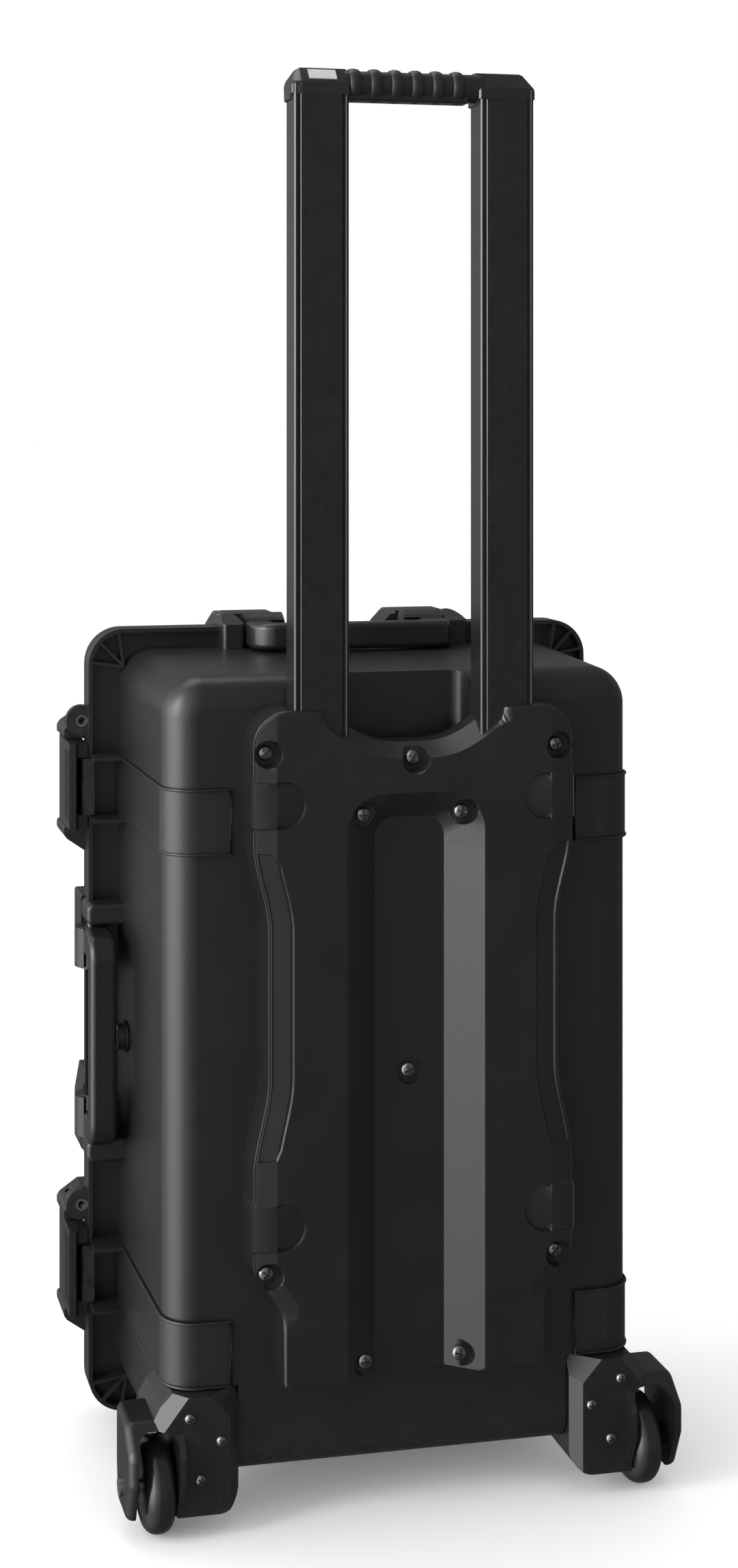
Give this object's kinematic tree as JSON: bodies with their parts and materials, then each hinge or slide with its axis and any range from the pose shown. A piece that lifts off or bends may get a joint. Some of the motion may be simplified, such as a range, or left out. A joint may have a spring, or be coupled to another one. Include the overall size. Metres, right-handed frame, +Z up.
{
  "type": "hard equipment case",
  "caption": "Upright wheeled hard equipment case with hinged lid, throw latches, two fold-down carry handles, screwed-on trolley cover and pull-out trolley handle.",
  "frame": {"origin": "on the floor under the middle of the case's bounding box, with the case standing on its wheels and feet", "axes": "+Z up along the trolley posts, -Y out of the trolley cover, +Y out of the lid, +X towards the hinges and -X towards the latches"},
  "size_m": [0.406, 0.242, 0.9573],
  "materials": {
    "shell_plastic": "finely grained injection-moulded black polypropylene, a soft sheen on the curves",
    "cover_plastic": "finely grained black plastic, a little glossier than the shells",
    "latch_plastic": "smooth black plastic",
    "handle_plastic": "smooth black plastic, half gloss",
    "soft_rubber": "black soft-touch rubber",
    "post_plastic": "glossy black plastic",
    "shoe_plastic": "plain black acetal",
    "button_grey": "light grey plastic",
    "steel": "plated steel, slightly worn",
    "wheel_tread": "hard black polyurethane, polished by use",
    "hub_plastic": "dark grey nylon",
    "valve_plastic": "black plastic"
  },
  "bodies": {
    "base": {"base_shell": "shell_plastic", "trolley_cover": "cover_plastic", "trolley_cover_screws": "steel", "wheel_housing_left": "cover_plastic", "wheel_housing_right": "cover_plastic", "wheel_housing_screws": "steel", "wheel_axle_left": "steel", "wheel_axle_right": "steel", "hinge_pin_upper": "steel", "hinge_pin_lower": "steel", "top_handle_pins": "steel", "front_handle_pins": "steel", "padlock_eyelets": "steel", "purge_valve_body": "valve_plastic"},
    "lid": {"lid_shell": "shell_plastic", "lid_seal": "soft_rubber", "latch_upper_pivot_pin": "steel", "latch_lower_pivot_pin": "steel"},
    "latch_upper": {"latch_upper_lever": "latch_plastic", "latch_upper_hook_pin": "steel"},
    "latch_upper_claw": {"latch_upper_hook": "latch_plastic"},
    "latch_lower": {"latch_lower_lever": "latch_plastic", "latch_lower_hook_pin": "steel"},
    "latch_lower_claw": {"latch_lower_hook": "latch_plastic"},
    "handle_top": {"top_handle": "handle_plastic", "top_handle_pads": "soft_rubber"},
    "handle_front": {"front_handle": "handle_plastic", "front_handle_pads": "soft_rubber"},
    "trolley": {"trolley_post_left": "post_plastic", "trolley_post_right": "post_plastic", "slide_shoe_left": "shoe_plastic", "slide_shoe_right": "shoe_plastic", "trolley_grip": "handle_plastic", "trolley_grip_rings": "soft_rubber"},
    "button": {"release_button": "button_grey"},
    "wheel_left": {"wheel_tyre_left": "wheel_tread", "wheel_hub_left": "hub_plastic", "wheel_bearings_left": "steel"},
    "wheel_right": {"wheel_tyre_right": "wheel_tread", "wheel_hub_right": "hub_plastic", "wheel_bearings_right": "steel"},
    "valve_knob": {"purge_valve_knob": "valve_plastic"}
  },
  "joints": [
    {"name": "lid_hinge", "type": "hinge", "parent": "base", "child": "lid", "pos_m": [0.194, 0.0713, 0.289], "axis": [0, 0, -1], "range_deg": [0, 110]},
    {"name": "top_handle_fold", "type": "hinge", "parent": "base", "child": "handle_top", "pos_m": [0, 0.058, 0.573], "axis": [-1, 0, 0], "range_deg": [0, 90]},
    {"name": "front_handle_fold", "type": "hinge", "parent": "base", "child": "handle_front", "pos_m": [-0.186, 0.058, 0.289], "axis": [0, 0, -1], "range_deg": [0, 90]},
    {"name": "trolley_slide", "type": "slide", "parent": "base", "child": "trolley", "axis": [0, 0, -1], "range_m": [0, 0.37]},
    {"name": "release_button_press", "type": "slide", "parent": "trolley", "child": "button", "axis": [0, 0, -1], "range_m": [0, 0.0028], "stiffness_N_per_m": 600},
    {"name": "wheel_left_spin", "type": "hinge", "parent": "base", "child": "wheel_left", "pos_m": [-0.1675, -0.084, 0.03], "axis": [1, 0, 0], "continuous": true},
    {"name": "wheel_right_spin", "type": "hinge", "parent": "base", "child": "wheel_right", "pos_m": [0.1675, -0.084, 0.03], "axis": [1, 0, 0], "continuous": true},
    {"name": "purge_valve_turn", "type": "hinge", "parent": "base", "child": "valve_knob", "pos_m": [-0.17, 0.036, 0.289], "axis": [1, 0, 0], "range_deg": [0, 180]},
    {"name": "latch_upper_open", "type": "hinge", "parent": "lid", "child": "latch_upper", "pos_m": [-0.196, 0.102, 0.463], "axis": [0, 0, -1], "range_deg": [0, 100]},
    {"name": "latch_upper_claw_swing", "type": "hinge", "parent": "latch_upper", "child": "latch_upper_claw", "pos_m": [-0.1925, 0.087, 0.463], "axis": [0, 0, -1], "range_deg": [-30, 0]},
    {"name": "latch_lower_open", "type": "hinge", "parent": "lid", "child": "latch_lower", "pos_m": [-0.196, 0.102, 0.1155], "axis": [0, 0, -1], "range_deg": [0, 100]},
    {"name": "latch_lower_claw_swing", "type": "hinge", "parent": "latch_lower", "child": "latch_lower_claw", "pos_m": [-0.1925, 0.087, 0.1155], "axis": [0, 0, -1], "range_deg": [-30, 0]}
  ],
  "couplings": [
    {"joint": "latch_upper_claw_swing", "follows": "latch_upper_open", "ratio": -0.3},
    {"joint": "latch_lower_claw_swing", "follows": "latch_lower_open", "ratio": -0.3}
  ]
}
